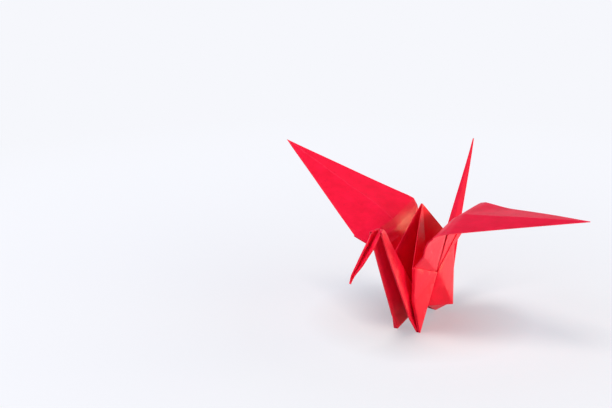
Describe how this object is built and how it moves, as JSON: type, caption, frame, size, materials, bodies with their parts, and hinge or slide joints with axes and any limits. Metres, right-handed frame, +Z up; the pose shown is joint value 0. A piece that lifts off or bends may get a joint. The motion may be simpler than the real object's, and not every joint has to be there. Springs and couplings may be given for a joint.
{
  "type": "origami crane",
  "caption": "Traditional paper crane folded from one square sheet, with spread wings, turned-down head and raised tail; stands on its body as a table ornament.",
  "frame": {"origin": "on the floor, in the middle of the body, below the peak of the back", "axes": "+Z up, -Y towards the head, +X towards the wing on the side that the camera sees from below"},
  "size_m": [0.1167, 0.0907, 0.0556],
  "materials": {
    "red_paper": "uncoated red dyed paper, matte, with sharp hand creases"
  },
  "bodies": {
    "root": {"folded_sheet": "red_paper"}
  },
  "joints": []
}
